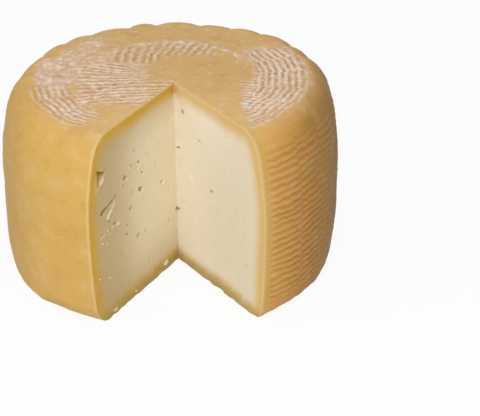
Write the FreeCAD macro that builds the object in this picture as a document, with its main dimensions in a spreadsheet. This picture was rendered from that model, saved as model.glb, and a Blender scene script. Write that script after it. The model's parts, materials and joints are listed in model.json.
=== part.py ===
import FreeCAD, Part
import os
from math import asin, atan2, cos, pi, radians, sin, sqrt

import Sketcher
from FreeCAD import Placement, Rotation, Vector

# A basket-moulded pecorino: one drum of cheese with a wedge cut out of it, standing on its flat
# base.  The origin is on the drum's axis at the base, +Z is up and the notch opens towards -Y.
#
# The drum is a revolved section: flat base, rounded foot, bellied heel in two arcs, rounded
# shoulder, flat top.  The reed basket that it set in has printed its weave on the rind: a groove
# for each row of reeds round the heel, a groove for each ring of reeds on the top face, and a
# channel for each stake, which runs out over the top face, over the shoulder and down the heel.
# The cut faces are open paste with eyes, the small hollows that gas leaves.

SIZES = {
    # The drum
    "wheel_radius": (100.0, "radius of the drum at its belly, the widest height"),
    "wheel_height": (118.0, "height of the drum from its base to its top face"),
    "belly_height": (65.0, "height of the widest point of the heel"),
    "lower_heel_radius": (420.0, "arc of the heel below the belly"),
    "upper_heel_radius": (121.0, "arc of the heel above the belly"),
    "shoulder_radius": (18.0, "rounding between the heel and the top face"),
    "foot_radius": (9.0, "rounding between the heel and the base"),
    # The print of the basket
    "reed_depth": (0.8, "depth of a reed's groove"),
    "reed_width": (2.6, "width of a reed's groove at the surface"),
    "row_pitch": (4.2, "height from one row of reeds to the next on the heel"),
    "first_row_height": (13.0, "height of the lowest row on the heel"),
    "ring_pitch": (4.0, "distance from one ring of reeds to the next on the top face"),
    "ring_inner_radius": (54.0, "radius of the innermost ring on the top face"),
    "stake_count": (24, "number of stakes round the basket"),
    "stake_width": (3.6, "width of a stake's channel"),
    "stake_depth": (1.1, "depth of a stake's channel, more than a reed's"),
    "stake_inner_radius": (40.0, "radius on the top face where the stakes begin"),
    "stake_foot_height": (9.0, "height above the base where the stakes end"),
    # The notch, which a wedge was cut from
    "notch_left_angle": (31.6, "angle from -Y to the left cut face, in degrees"),
    "notch_right_angle": (31.8, "angle from -Y to the right cut face, in degrees"),
    "notch_apex_right": (2.3, "the notch's inner edge lies this far towards +X of the axis"),
    "notch_apex_front": (7.7, "the notch's inner edge lies this far towards -Y of the axis"),
    # How far an eye's middle lies behind its cut face, as a share of its width
    "eye_sink": (0.15, "share of an eye's width by which its middle lies inside the paste"),
}

# How far the cutting shapes stand proud of the surface that they cut
PROUD = 1.0

# The larger eyes of each cut face: distance along the face from the notch's inner edge, height
# above the base, width along the face and height of the eye.
LEFT_EYES = [
    (80.0, 94.5, 7.5, 6.5),
    (68.0, 72.5, 8.0, 3.0),
    (77.0, 71.5, 7.0, 3.0),
    (66.0, 57.5, 3.4, 3.0),
    (80.0, 57.0, 3.6, 3.2),
    (55.0, 82.0, 3.4, 3.8),
    (40.5, 85.0, 3.4, 3.0),
    (39.8, 67.0, 3.8, 3.4),
    (16.3, 61.0, 3.4, 3.0),
    (56.0, 46.0, 3.4, 3.4),
    (36.0, 37.6, 3.2, 3.0),
    (15.6, 42.6, 3.2, 3.4),
]
RIGHT_EYES = [
    (8.0, 102.0, 3.6, 3.0),
    (25.0, 91.0, 4.2, 3.4),
    (37.5, 63.5, 3.6, 3.4),
    (53.8, 104.0, 3.4, 2.8),
    (70.0, 61.0, 3.6, 3.4),
    (69.0, 48.0, 3.2, 3.2),
    (72.5, 30.0, 3.2, 3.0),
    (18.0, 16.0, 3.4, 3.0),
]

NODE = "pecorino_wheel"
START, END, MIDDLE = 1, 2, 3
ORIGIN = (-1, 1)


def size(name):
    return SIZES[name][0]


def make_sheet(doc):
    """The spreadsheet of driving dimensions: one row for each, with its alias and its meaning."""
    sheet = doc.addObject("Spreadsheet::Sheet", "Sizes")
    for row, (name, (value, meaning)) in enumerate(SIZES.items(), start=1):
        sheet.set(f"A{row}", name)
        sheet.set(f"B{row}", str(value))
        sheet.set(f"C{row}", meaning)
        sheet.setAlias(f"B{row}", name)
    doc.recompute()
    return sheet


def cells(expression):
    """The expression with each size's name turned into a reference to its cell."""
    words = expression.split()
    return " ".join(f"Sizes.{word}" if word in SIZES else word for word in words)


def origin_feature(body, role):
    return next(part for part in body.Origin.OriginFeatures if part.Role == role)


def new_sketch(body, name, plane, offset=Placement()):
    sketch = body.newObject("Sketcher::SketchObject", name)
    sketch.AttachmentSupport = [(origin_feature(body, plane), "")]
    sketch.MapMode = "FlatFace"
    sketch.AttachmentOffset = offset
    return sketch


def drive(sketch, kind, where, value, expression):
    """Add a driving constraint and bind it to the cells that its expression names."""
    index = sketch.addConstraint(Sketcher.Constraint(kind, *where, value))
    sketch.setExpression(f"Constraints[{index}]", cells(expression))


def finish_sketch(sketch):
    sketch.Document.recompute()
    if sketch.solve() != 0 or not sketch.FullyConstrained:
        raise RuntimeError(f"sketch {sketch.Name} is not fully constrained")


def heel_x(height):
    """Distance from the axis to the heel at a height."""
    name = "lower_heel_radius" if height < size("belly_height") else "upper_heel_radius"
    rise = height - size("belly_height")
    return size("wheel_radius") - size(name) + sqrt(size(name) ** 2 - rise**2)


def heel_x_text(height, height_text):
    """The same distance as heel_x, as an expression on the sheet."""
    name = "lower_heel_radius" if height < size("belly_height") else "upper_heel_radius"
    return f"wheel_radius - {name} + sqrt( {name} ^ 2 - ( {height_text} - belly_height ) ^ 2 )"


def arc(centre_x, centre_z, radius, first, last):
    circle = Part.Circle(Vector(centre_x, centre_z, 0), Vector(0, 0, 1), radius)
    return Part.ArcOfCircle(circle, first, last)


def line(x0, z0, x1, z1):
    return Part.LineSegment(Vector(x0, z0, 0), Vector(x1, z1, 0))


def add_outline(sketch, offset, offset_text, inner, foot_height):
    """Draw the outside of the drum, moved outwards by offset: heel, shoulder and top face.

    With a foot_height the outline starts on the heel at that height, and otherwise it starts
    on the axis and takes in the base and the foot.  It ends on the top face at radius inner.
    Returns the sketch's index of the first edge and of the last.
    """
    belly = size("belly_height")
    low, high = size("lower_heel_radius"), size("upper_heel_radius")
    corner = size("shoulder_radius")
    low_x, high_x = size("wheel_radius") - low, size("wheel_radius") - high

    corner_z = size("wheel_height") - corner
    corner_x = high_x + sqrt((high - corner) ** 2 - (corner_z - belly) ** 2)
    corner_angle = atan2(corner_z - belly, corner_x - high_x)

    edges = []
    if foot_height is None:
        foot = size("foot_radius")
        foot_x = low_x + sqrt((low - foot) ** 2 - (foot - belly) ** 2)
        foot_angle = atan2(foot - belly, foot_x - low_x)
        edges.append(line(0, 0, foot_x, 0))
        edges.append(arc(foot_x, foot, foot, -pi / 2, foot_angle))
    else:
        foot_angle = asin((foot_height - belly) / (low + offset))
    edges.append(arc(low_x, belly, low + offset, foot_angle, 0))
    edges.append(arc(high_x, belly, high + offset, 0, corner_angle))
    edges.append(arc(corner_x, corner_z, corner + offset, corner_angle, pi / 2))
    top_z = size("wheel_height") + offset
    edges.append(line(corner_x, top_z, inner, top_z))

    first = sketch.GeometryCount
    sketch.addGeometry(edges, False)
    last = first + len(edges) - 1
    shoulder, upper, lower = last - 1, last - 2, last - 3
    for edge, following in ((lower, upper), (upper, shoulder), (shoulder, last)):
        sketch.addConstraint(Sketcher.Constraint("Tangent", edge, END, following, START))
    sketch.addConstraint(Sketcher.Constraint("Horizontal", last))
    sketch.addConstraint(Sketcher.Constraint("Horizontal", lower, MIDDLE, lower, END))

    drive(sketch, "Radius", (lower,), low + offset, f"lower_heel_radius + {offset_text}")
    drive(sketch, "Radius", (upper,), high + offset, f"upper_heel_radius + {offset_text}")
    drive(sketch, "Radius", (shoulder,), corner + offset, f"shoulder_radius + {offset_text}")
    belly_point = (*ORIGIN, lower, END)
    belly_x = size("wheel_radius") + offset
    drive(sketch, "DistanceX", belly_point, belly_x, f"wheel_radius + {offset_text}")
    drive(sketch, "DistanceY", belly_point, belly, "belly_height")
    drive(sketch, "DistanceY", (*ORIGIN, last, END), top_z, f"wheel_height + {offset_text}")
    return first, last


def add_drum(body):
    """Revolve the half section of the drum."""
    section = new_sketch(body, "DrumSection", "XZ_Plane")
    base, top = add_outline(section, 0.0, "0", inner=0.0, foot_height=None)
    foot, lower = base + 1, base + 2
    section.addConstraint(Sketcher.Constraint("Tangent", base, END, foot, START))
    section.addConstraint(Sketcher.Constraint("Tangent", foot, END, lower, START))
    section.addConstraint(Sketcher.Constraint("Coincident", base, START, *ORIGIN))
    section.addConstraint(Sketcher.Constraint("Horizontal", base))
    drive(section, "Radius", (foot,), size("foot_radius"), "foot_radius")
    axis = section.addGeometry(line(0, size("wheel_height"), 0, 0), False)
    section.addConstraint(Sketcher.Constraint("Coincident", top, END, axis, START))
    section.addConstraint(Sketcher.Constraint("Coincident", axis, END, base, START))
    section.addConstraint(Sketcher.Constraint("Vertical", axis))
    finish_sketch(section)

    drum = body.newObject("PartDesign::Revolution", "Drum")
    drum.Profile = section
    drum.ReferenceAxis = (section, ["V_Axis"])
    drum.Angle = 360
    body.Document.recompute()


def add_vee(sketch, x, x_text, z, z_text, heel):
    """Draw the V section of one reed's groove, its tip placed by two expressions.

    On the heel the V opens away from the axis, and on the top face it opens upwards.
    """
    rise = size("reed_depth") + PROUD
    half = size("reed_width") / 2 * rise / size("reed_depth")
    rise_text = f"( reed_depth + {PROUD} )"
    half_text = f"reed_width / 2 * {rise_text} / reed_depth"
    out, across = (("DistanceX", "DistanceY") if heel else ("DistanceY", "DistanceX"))
    corners = [
        Vector(x + rise, z + side * half, 0) if heel else Vector(x + side * half, z + rise, 0)
        for side in (-1, 1)
    ]
    tip = Vector(x, z, 0)
    low = sketch.addGeometry(Part.LineSegment(tip, corners[0]), False)
    mouth = sketch.addGeometry(Part.LineSegment(corners[0], corners[1]), False)
    high = sketch.addGeometry(Part.LineSegment(corners[1], tip), False)
    for edge, following in ((low, mouth), (mouth, high), (high, low)):
        sketch.addConstraint(Sketcher.Constraint("Coincident", edge, END, following, START))
    sketch.addConstraint(Sketcher.Constraint("Vertical" if heel else "Horizontal", mouth))
    drive(sketch, "DistanceX", (*ORIGIN, low, START), x, x_text)
    drive(sketch, "DistanceY", (*ORIGIN, low, START), z, z_text)
    drive(sketch, out, (low, START, low, END), rise, rise_text)
    drive(sketch, across, (low, END, low, START), half, half_text)
    drive(sketch, across, (high, END, high, START), half, half_text)


def cut_reeds(body):
    """Cut one groove round the drum for each row and each ring of reeds."""
    before = body.Shape.Volume
    sketch = new_sketch(body, "ReedSections", "XZ_Plane")
    for place in row_places():
        add_vee(sketch, *place, heel=True)
    for place in ring_places():
        add_vee(sketch, *place, heel=False)
    finish_sketch(sketch)
    groove = body.newObject("PartDesign::Groove", "Reeds")
    groove.Profile = sketch
    groove.ReferenceAxis = (sketch, ["V_Axis"])
    groove.Angle = 360
    body.Document.recompute()
    must_shrink(body, before, "Reeds")


def row_places():
    """Where the rows of reeds lie on the heel, from the lowest up to the shoulder."""
    highest = size("wheel_height") - size("shoulder_radius")
    rows = int((highest - size("first_row_height")) / size("row_pitch")) + 1
    for row in range(rows):
        height = size("first_row_height") + row * size("row_pitch")
        height_text = f"( first_row_height + {row} * row_pitch )"
        x = heel_x(height) - size("reed_depth")
        yield x, heel_x_text(height, height_text) + " - reed_depth", height, height_text


def ring_places():
    """Where the rings of reeds lie on the top face, from the innermost to the shoulder."""
    high = size("upper_heel_radius")
    corner = size("shoulder_radius")
    rise = size("wheel_height") - corner - size("belly_height")
    flat_radius = size("wheel_radius") - high + sqrt((high - corner) ** 2 - rise**2)
    room = flat_radius - size("reed_width") - size("ring_inner_radius")
    rings = int(room / size("ring_pitch")) + 1
    height = size("wheel_height") - size("reed_depth")
    for ring in range(rings):
        radius = size("ring_inner_radius") + ring * size("ring_pitch")
        yield radius, f"ring_inner_radius + {ring} * ring_pitch", height, "wheel_height - reed_depth"


def cut_stakes(body):
    """Cut one stake's channel over the top face and down the heel, and repeat it round the axis."""
    before = body.Shape.Volume
    depth = size("stake_depth")
    inner = size("stake_inner_radius")
    foot = size("stake_foot_height")
    reach = size("wheel_radius") + PROUD
    lid = size("wheel_height") + PROUD

    sketch = new_sketch(body, "StakeSection", "XZ_Plane")
    heel, top = add_outline(sketch, -depth, "( 0 - stake_depth )", inner, foot)
    floor_start = sketch.getPoint(heel, START)
    floor_end = sketch.getPoint(top, END)
    back = sketch.addGeometry(line(inner, floor_end.y, inner, lid), False)
    over = sketch.addGeometry(line(inner, lid, reach, lid), False)
    front = sketch.addGeometry(line(reach, lid, reach, foot), False)
    under = sketch.addGeometry(line(reach, foot, floor_start.x, foot), False)
    for edge, following in ((top, back), (back, over), (over, front), (front, under), (under, heel)):
        sketch.addConstraint(Sketcher.Constraint("Coincident", edge, END, following, START))
    for upright in (back, front):
        sketch.addConstraint(Sketcher.Constraint("Vertical", upright))
    for level in (over, under):
        sketch.addConstraint(Sketcher.Constraint("Horizontal", level))
    drive(sketch, "DistanceY", (*ORIGIN, heel, START), foot, "stake_foot_height")
    drive(sketch, "DistanceX", (*ORIGIN, top, END), inner, "stake_inner_radius")
    drive(sketch, "DistanceX", (*ORIGIN, front, START), reach, f"wheel_radius + {PROUD}")
    drive(sketch, "DistanceY", (*ORIGIN, back, END), lid, f"wheel_height + {PROUD}")
    finish_sketch(sketch)

    stake = body.newObject("PartDesign::Pocket", "Stake")
    stake.Profile = sketch
    stake.Type = "Length"
    stake.SideType = "Symmetric"
    stake.setExpression("Length", cells("stake_width"))

    stakes = body.newObject("PartDesign::PolarPattern", "Stakes")
    stakes.Originals = [stake]
    stakes.Axis = (origin_feature(body, "Z_Axis"), [""])
    stakes.Angle = 360
    stakes.setExpression("Occurrences", cells("stake_count"))
    body.Tip = stakes
    body.Document.recompute()
    must_shrink(body, before, "Stakes")


def cut_notch(body):
    """Cut the wedge out: a triangle from the notch's inner edge to beyond the heel."""
    before = body.Shape.Volume
    reach = 2 * size("wheel_radius")
    apex_x, apex_y = size("notch_apex_right"), -size("notch_apex_front")
    corners = [Vector(apex_x, apex_y, 0)]
    for side, name in ((-1, "notch_left_angle"), (1, "notch_right_angle")):
        angle = radians(size(name))
        corners.append(Vector(apex_x + side * reach * sin(angle), apex_y - reach * cos(angle), 0))

    sketch = new_sketch(body, "NotchSection", "XY_Plane")
    left, front, right = (
        sketch.addGeometry(Part.LineSegment(start, end), False)
        for start, end in zip(corners, corners[1:] + corners[:1])
    )
    for edge, following in ((left, front), (front, right), (right, left)):
        sketch.addConstraint(Sketcher.Constraint("Coincident", edge, END, following, START))
    drive(sketch, "DistanceX", (*ORIGIN, left, START), apex_x, "notch_apex_right")
    drive(sketch, "DistanceY", (left, START, *ORIGIN), -apex_y, "notch_apex_front")
    for edge, name in ((left, "notch_left_angle"), (right, "notch_right_angle")):
        spread = reach * sin(radians(size(name)))
        spread_text = f"2 * wheel_radius * sin( {name} )"
        drive(sketch, "Distance", (edge,), reach, "2 * wheel_radius")
        drive(sketch, "DistanceX", (edge, END, edge, START), spread, spread_text)
    finish_sketch(sketch)

    notch = body.newObject("PartDesign::Pocket", "Notch")
    notch.Profile = sketch
    notch.Type = "ThroughAll"
    notch.Reversed = True
    body.Document.recompute()
    must_shrink(body, before, "Notch")


def must_shrink(body, before, name):
    if not body.Shape.Volume < before:
        raise RuntimeError(f"{name} took nothing away from the drum")


def cut_eyes(body, side, angle_name, eyes):
    """Hollow each eye of a cut face out as an ellipsoid, more than half of it in the paste."""
    before = body.Shape.Volume
    angle = radians(size(angle_name))
    along = Vector(side * sin(angle), -cos(angle), 0)
    into_paste = Vector(side * cos(angle), sin(angle), 0)
    turn = Rotation(along, into_paste, Vector(0, 0, 1), "ZXY")
    apex = Vector(size("notch_apex_right"), -size("notch_apex_front"), 0)
    for distance, height, width, tall in eyes:
        hollow = body.newObject("PartDesign::SubtractiveEllipsoid", angle_name + "_eye")
        hollow.Radius1 = tall / 2
        hollow.Radius2 = width / 2
        hollow.Radius3 = width / 2
        middle = apex + along * distance + into_paste * (size("eye_sink") * width)
        hollow.Placement = Placement(middle + Vector(0, 0, height), turn)
    body.Document.recompute()
    must_shrink(body, before, f"the eyes at {angle_name}")


def check(doc, piece):
    """Stop unless every object of the document worked and the piece is one valid solid."""
    for item in doc.Objects:
        if "Invalid" in item.State or "Error" in item.State:
            raise RuntimeError(f"{item.Name} failed: {item.State}")
    if piece.Shape.isNull() or not piece.Shape.isValid() or len(piece.Shape.Solids) != 1:
        raise RuntimeError(f"{piece.Label} is not one valid solid")


def main():
    doc = FreeCAD.newDocument("Pecorino")
    make_sheet(doc)

    wheel = doc.addObject("PartDesign::Body", "Wheel")
    wheel.Label = NODE
    add_drum(wheel)
    cut_notch(wheel)
    cut_eyes(wheel, -1, "notch_left_angle", LEFT_EYES)
    cut_eyes(wheel, 1, "notch_right_angle", RIGHT_EYES)
    cut_stakes(wheel)
    cut_reeds(wheel)
    check(doc, wheel)

    os.makedirs("parts", exist_ok=True)
    wheel.Shape.exportStep(os.path.join("parts", wheel.Label + ".step"))


main()
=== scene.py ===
import json
from contextlib import contextmanager
from math import atan2, cos, pi, radians, sin, sqrt

import bpy
import numpy as np
from mathutils import Matrix, Vector

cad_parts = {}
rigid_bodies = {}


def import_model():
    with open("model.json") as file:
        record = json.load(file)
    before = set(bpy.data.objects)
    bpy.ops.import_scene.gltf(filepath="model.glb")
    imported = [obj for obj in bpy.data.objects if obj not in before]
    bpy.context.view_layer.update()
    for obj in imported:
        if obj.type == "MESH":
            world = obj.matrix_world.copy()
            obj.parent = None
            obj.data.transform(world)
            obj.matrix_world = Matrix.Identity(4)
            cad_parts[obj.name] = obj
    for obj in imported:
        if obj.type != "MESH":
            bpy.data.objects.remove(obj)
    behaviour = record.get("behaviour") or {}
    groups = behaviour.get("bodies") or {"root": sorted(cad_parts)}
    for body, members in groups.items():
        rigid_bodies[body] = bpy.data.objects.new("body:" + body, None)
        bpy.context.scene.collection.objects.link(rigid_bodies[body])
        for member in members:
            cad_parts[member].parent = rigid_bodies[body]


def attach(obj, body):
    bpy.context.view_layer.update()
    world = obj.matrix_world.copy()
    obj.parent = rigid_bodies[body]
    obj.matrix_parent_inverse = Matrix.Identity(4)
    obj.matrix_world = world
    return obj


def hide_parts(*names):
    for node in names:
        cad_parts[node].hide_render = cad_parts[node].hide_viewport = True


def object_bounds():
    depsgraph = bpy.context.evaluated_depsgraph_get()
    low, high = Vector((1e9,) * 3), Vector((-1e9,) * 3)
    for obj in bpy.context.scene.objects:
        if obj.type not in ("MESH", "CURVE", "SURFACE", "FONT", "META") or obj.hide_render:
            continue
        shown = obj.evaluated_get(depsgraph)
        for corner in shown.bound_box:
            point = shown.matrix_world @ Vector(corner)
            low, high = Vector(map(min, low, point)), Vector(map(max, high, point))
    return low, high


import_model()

# A wheel of basket-moulded pecorino with a wedge cut out of it.
#
# The wheel is one closed mesh.  A flat template of its half section is spun round the notch's
# inner edge and closed with the two cut faces.  A mapping in code then gives every point its
# place: the drum's outline, the print of the basket on the rind and the plane cut faces.  The
# cut faces are then divided more finely round each eye and hollowed out there.  The finishes
# read what is stored on the points, such as how much bloom a point carries, how high it lies on
# the weave and how deep in the paste it is.

bl_info = {
    "name": "Pecorino wheel",
    "version": (1, 0, 0),
    "blender": (4, 5, 0),
    "location": "View3D > Sidebar > Pecorino",
    "description": "Models a cut wheel of basket-moulded pecorino around its CAD frame",
    "category": "Add Mesh",
}

MM = 0.001
NODE = "pecorino_wheel"
BODY = "root"
CAD_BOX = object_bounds()
CAD_LOW, CAD_HIGH = CAD_BOX
WHEEL_RADIUS = (CAD_HIGH[0] - CAD_LOW[0]) / 2
WHEEL_HEIGHT = CAD_HIGH[2] - CAD_LOW[2]

# A distance that is larger than any on the wheel
FAR = 1.0
# A point that lies this near to a cut's plane is on the cut face
ON_CUT = 0.02 * MM
# Points that lie this near to each other become one
MERGE = 0.01 * MM
# A face whose normal has a smaller z than this faces down
FACING_DOWN = -0.99


# ---- Settings ----


def linear(red, green, blue):
    """An sRGB colour, 0 to 255, as the linear values that shaders use, by the sRGB curve."""
    shares = [value / 255 for value in (red, green, blue)]
    return tuple(c / 12.92 if c <= 0.04045 else ((c + 0.055) / 1.055) ** 2.4 for c in shares)


def number(name, description, default, subtype="NONE"):
    return bpy.props.FloatProperty(name=name, description=description, default=default, subtype=subtype)


def length(name, description, default):
    return number(name, description, default, "DISTANCE")


def angle(name, description, degrees):
    return number(name, description, radians(degrees), "ANGLE")


def colour(name, description, chart):
    return bpy.props.FloatVectorProperty(
        name=name, description=description, default=linear(*chart), size=3, subtype="COLOR"
    )


class WheelSettings(bpy.types.PropertyGroup):
    """Outline of the drum and of the notch."""

    radius: length("Radius", "Radius at the belly", WHEEL_RADIUS)
    height: length("Height", "Height from the base to the top face", WHEEL_HEIGHT)
    belly: length("Belly height", "Height of the widest point", 65 * MM)
    lower_arc: length("Lower heel arc", "Radius of the heel's curve below the belly", 420 * MM)
    upper_arc: length("Upper heel arc", "Radius of the heel's curve above the belly", 121 * MM)
    shoulder: length("Shoulder", "Rounding between the heel and the top face", 18 * MM)
    foot: length("Foot", "Rounding between the heel and the base", 9 * MM)
    apex_right: length("Apex right", "Notch's inner edge, towards +X of the axis", 2.3 * MM)
    apex_front: length("Apex front", "Notch's inner edge, towards -Y of the axis", 7.7 * MM)
    cut_left: angle("Left cut", "Angle from -Y to the left cut face", 31.6)
    cut_right: angle("Right cut", "Angle from -Y to the right cut face", 31.8)


class WeaveSettings(bpy.types.PropertyGroup):
    """The print of the basket on the rind."""

    stakes: bpy.props.IntProperty(name="Stakes", description="Stakes round the basket", default=24)
    first_stake: angle("First stake", "Direction of the first stake from +X", 2.0)
    row_pitch: length("Row pitch", "From one row of reeds to the next on the heel", 4.15 * MM)
    ring_pitch: length("Ring pitch", "From one ring of reeds to the next on top", 3.85 * MM)
    stroke_pitch: length("Stroke pitch", "From one stroke to the next on the top's left", 4.7 * MM)
    comb_pitch: length("Comb pitch", "Between the short strokes inside the rings", 3.8 * MM)
    row_depth: length("Row depth", "Depth of the weave on the right of the heel", 0.85 * MM)
    ring_depth: length("Ring depth", "Depth of the weave on the top face", 0.8 * MM)
    bulge: length("Bulge", "How far the rind swells between two stakes", 2.3 * MM)


class RindColours(bpy.types.PropertyGroup):
    """Colours of the rind."""

    tan: colour("Tan", "Top face and shoulder", (208, 168, 108))
    golden: colour("Golden", "Smooth left of the heel", (202, 163, 88))
    # The rind's brown, also laid faintly on the far left of the heel; towards the right of the heel it is
    # partly painted shade, away from the lamps
    brown: colour("Brown", "Right of the heel", (160, 116, 52))
    # Painted shade in the grooves between the reeds; the same colour also gives the rind's darker mottled
    # patches
    groove_shade_and_mottle: colour("Valley", "Between the reeds", (140, 96, 50))
    # Painted shade: the far right of the heel, which turns away from the lamps, and a line along the foot
    orange: colour("Orange", "Warm patches", (204, 138, 62))
    painted_shade: colour("Dark", "Far right of the heel", (104, 78, 36))
    # Painted highlight on the crests of the reeds on the heel
    ridge: colour("Ridge", "Crests of the reeds on the heel", (210, 160, 94))
    lip: colour("Lip", "Rind at the very edge of the cuts", (216, 192, 146))
    bloom: colour("Bloom", "White bloom on the crests", (238, 216, 198))
    veil: colour("Veil", "Thin bloom over the printed parts of the top", (211, 180, 160))
    warm: colour("Warm spots", "Spots on the top face", (204, 150, 104))
    pale: colour("Pale", "Front of the top face", (224, 184, 122))
    cool: colour("Cool spots", "Mould on the top face", (228, 224, 218))


class PasteColours(bpy.types.PropertyGroup):
    """Colours of the cut faces."""

    cream: colour("Cream", "Middle of the paste", (240, 230, 208))
    beige: colour("Beige", "Paste towards the rind", (210, 194, 164))
    # Painted shade on the outer part of the left cut face, which faces away from the lamps
    left_face_shade: colour("Grey", "Outer part of the left cut face", (188, 162, 114))
    ochre: colour("Ochre", "Band under the rind", (209, 163, 64))
    edge: colour("Edge", "Pale line at the very rind", (222, 200, 140))
    # Painted shade in the eyes: their inside is darker and more olive, the more the deeper they sink
    hollow: colour("Hollow", "Inside the eyes", (176, 150, 86))
    toasted: colour("Toasted", "Inside a few brown eyes", (198, 144, 68))
    # Partly the paste's own olive band at the base and partly painted shade near the floor; it also tints
    # the lower left cut face
    foot: colour("Foot", "Darker paste at the base", (172, 150, 86))


class StageSettings(bpy.types.PropertyGroup):
    """Camera, lamps and floor."""

    focal: number("Focal length", "Focal length of the camera", 135, "DISTANCE_CAMERA")
    distance: length("Distance", "From the camera to the wheel's middle", 1.077)
    elevation: angle("Elevation", "Of the camera above the wheel's middle", 27.5)
    pan: angle("Pan", "Turn of the camera to the right, off the wheel", 2.12)
    tilt: angle("Tilt", "Further turn of the camera downwards", 1.37)
    roll: angle("Roll", "Turn of the camera about its view", 1.7)
    key: number("Key lamp", "Power of the lamp in front", 26, "POWER")
    side: number("Side lamp", "Power of the lamp on the left", 5.5, "POWER")
    sky: number("Sky", "Strength of the even light", 0.5)


# ---- Outline of the drum ----


def smooth(low, high, value):
    """Rise smoothly from 0 at low to 1 at high, also where low is the larger one."""
    t = np.clip((value - low) / (high - low), 0, 1)
    return t * t * (3 - 2 * t)


class Outline:
    """Half section of the drum, as distance from the axis, height and outward normal.

    It runs from the middle of the foot's rounding, up the heel, to where the shoulder meets
    the flat top, and is read by the length along it.
    """

    ARC_POINTS = 400
    # The depth is measured to every so many of the points
    DEPTH_EVERY = 8

    def __init__(self, wheel):
        self.height = wheel.height
        low_x = wheel.radius - wheel.lower_arc
        high_x = wheel.radius - wheel.upper_arc
        foot_x = low_x + sqrt((wheel.lower_arc - wheel.foot) ** 2 - (wheel.foot - wheel.belly) ** 2)
        foot_end = atan2(wheel.foot - wheel.belly, foot_x - low_x)
        top_z = wheel.height - wheel.shoulder
        self.flat_radius = high_x + sqrt(
            (wheel.upper_arc - wheel.shoulder) ** 2 - (top_z - wheel.belly) ** 2
        )
        shoulder_start = atan2(top_z - wheel.belly, self.flat_radius - high_x)
        arcs = [
            (foot_x, wheel.foot, wheel.foot, -pi / 2, foot_end),
            (low_x, wheel.belly, wheel.lower_arc, foot_end, 0),
            (high_x, wheel.belly, wheel.upper_arc, 0, shoulder_start),
            (self.flat_radius, top_z, wheel.shoulder, shoulder_start, pi / 2),
        ]
        table = []
        travelled = 0
        for centre_x, centre_z, radius, first, last in arcs:
            turn = np.linspace(first, last, self.ARC_POINTS)
            along = travelled + radius * (turn - first)
            r = centre_x + radius * np.cos(turn)
            z = centre_z + radius * np.sin(turn)
            table.append(np.stack([along, r, z, np.cos(turn), np.sin(turn)]))
            travelled = along[-1]
        self.along, self.r, self.z, self.normal_r, self.normal_z = np.concatenate(table, axis=1)
        self.length = travelled
        self.foot_middle = wheel.foot * (foot_end + pi / 2) / 2
        self.shoulder_middle = travelled - wheel.shoulder * (pi / 2 - shoulder_start) / 2

    def at(self, along):
        """Distance from the axis, height and the two parts of the normal."""
        columns = (self.r, self.z, self.normal_r, self.normal_z)
        return [np.interp(along, self.along, column) for column in columns]

    def depth(self, r, z):
        """How deep points lie under the plain rind."""
        best = np.where(r > self.flat_radius, FAR, np.minimum(self.height - z, z))
        for near in range(0, len(self.along), self.DEPTH_EVERY):
            best = np.minimum(best, np.hypot(r - self.r[near], z - self.z[near]))
        return best


# ---- The print of the basket ----


class Ripple:
    """Smooth seeded noise between about -1 and 1, as a sum of plane waves."""

    WAVES = 14
    # How fine the waves are, 1 being one wave to the size, and the level of their sum
    FINENESS = (0.6, 1.6)
    LEVEL = 0.8

    def __init__(self, seed, size):
        chance = np.random.default_rng(seed)
        directions = chance.normal(size=(self.WAVES, 3))
        directions /= np.linalg.norm(directions, axis=1)[:, None]
        numbers = 2 * pi / size * chance.uniform(*self.FINENESS, self.WAVES)
        self.waves = directions * numbers[:, None]
        self.phases = chance.uniform(0, 2 * pi, self.WAVES)

    def __call__(self, points):
        total = np.sin(points @ self.waves.T + self.phases).sum(axis=1)
        return total / sqrt(self.WAVES) * self.LEVEL


def wave(turns):
    """Even ridges: 1 at each whole number and 0 halfway between."""
    return 0.5 + 0.5 * np.cos(2 * pi * turns)


def between(low, high, value, soft):
    """1 inside the range and 0 outside it, with soft edges."""
    return smooth(low - soft, low + soft, value) * smooth(high + soft, high - soft, value)


def ramp(low, high, value):
    """smooth, with its range in millimetres."""
    return smooth(low * MM, high * MM, value)


def span(low, high, value, soft):
    """between, with its range and edges in millimetres."""
    return between(low * MM, high * MM, value, soft * MM)


def broken(strength, at, ragged=1.0):
    """The same strength, weaker here and there."""
    gaps = at.uneven(0.35, 0.42, 0.20)
    return np.clip(strength * (0.92 - 0.14 * ragged + ragged * gaps), 0, 1)


class Place:
    """What the print depends on at each point of the rind.

    side is 1 on the heel and 0 on the flat top.
    """

    def __init__(self, weave, points, side):
        self.x, self.y, self.z = points.T
        self.r = np.hypot(self.x, self.y)
        self.theta = np.arctan2(self.y, self.x)
        self.side = side
        self.top = 1 - side
        self.index, self.across, self.off_middle = weave.sectors(self.theta)
        self.broad = weave.broad(points)
        self.medium = weave.medium(points)
        self.fine = weave.fine(points)
        self.grain = weave.grain(points)
        self.from_cut = distance_to_cuts(points)

    def uneven(self, medium, fine, grain=0.0):
        """What makes the print uneven, with so much of each size of it."""
        return medium * self.medium + fine * self.fine + grain * self.grain

    def near(self, degrees, spread):
        """1 towards a direction from the axis, falling to 0 at spread degrees to either side."""
        towards = np.cos(self.theta - radians(degrees))
        return smooth(cos(radians(spread)), cos(radians(spread * 0.6)), towards)


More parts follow.
